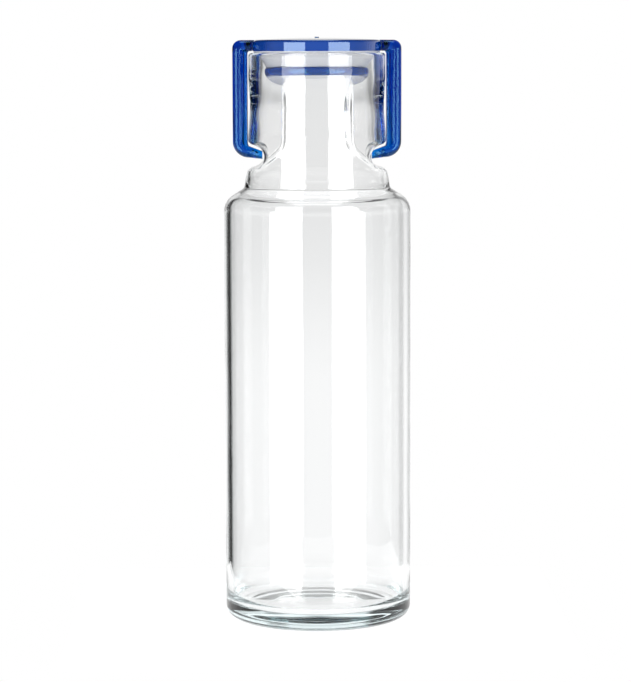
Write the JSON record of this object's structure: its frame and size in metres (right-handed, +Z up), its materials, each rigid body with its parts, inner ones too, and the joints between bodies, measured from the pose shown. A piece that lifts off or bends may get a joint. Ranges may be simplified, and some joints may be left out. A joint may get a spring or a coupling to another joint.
{
  "type": "growler",
  "caption": "Slim clear glass growler bottle with a domed clip-on lid, silicone gasket and hinged side arms that hook into grooves in the neck.",
  "frame": {"origin": "middle of the base, on the plane that the bottle stands on", "axes": "+Z up along the bottle's axis; +X and -X towards the clip arms; -Y is the front"},
  "size_m": [0.0904, 0.0904, 0.2826],
  "materials": {
    "clear_glass": "polished clear soda-lime glass",
    "blue_plastic": "glossy translucent deep blue moulded plastic",
    "silicone": "milky translucent silicone"
  },
  "bodies": {
    "bottle": {"glass_bottle": "clear_glass"},
    "stopper": {"lid": "blue_plastic", "gasket": "silicone", "plug_retainer": "blue_plastic"},
    "arm_left": {"arm_left": "blue_plastic", "hinge_pin_left": "blue_plastic"},
    "arm_right": {"arm_right": "blue_plastic", "hinge_pin_right": "blue_plastic"}
  },
  "joints": [
    {"name": "lid_lift", "type": "slide", "parent": "bottle", "child": "stopper", "axis": [0, 0, 1], "range_m": [0, 0.025]},
    {"name": "arm_left_swing", "type": "hinge", "parent": "stopper", "child": "arm_left", "pos_m": [-0.03315, 0, 0.2792], "axis": [0, 1, 0], "range_deg": [0, 70]},
    {"name": "arm_right_swing", "type": "hinge", "parent": "stopper", "child": "arm_right", "pos_m": [0.03315, 0, 0.2792], "axis": [0, -1, 0], "range_deg": [0, 70]}
  ],
  "couplings": [
    {"joint": "arm_left_swing", "follows": "lid_lift", "rad_per_m": 48.869},
    {"joint": "arm_right_swing", "follows": "lid_lift", "rad_per_m": 48.869}
  ]
}
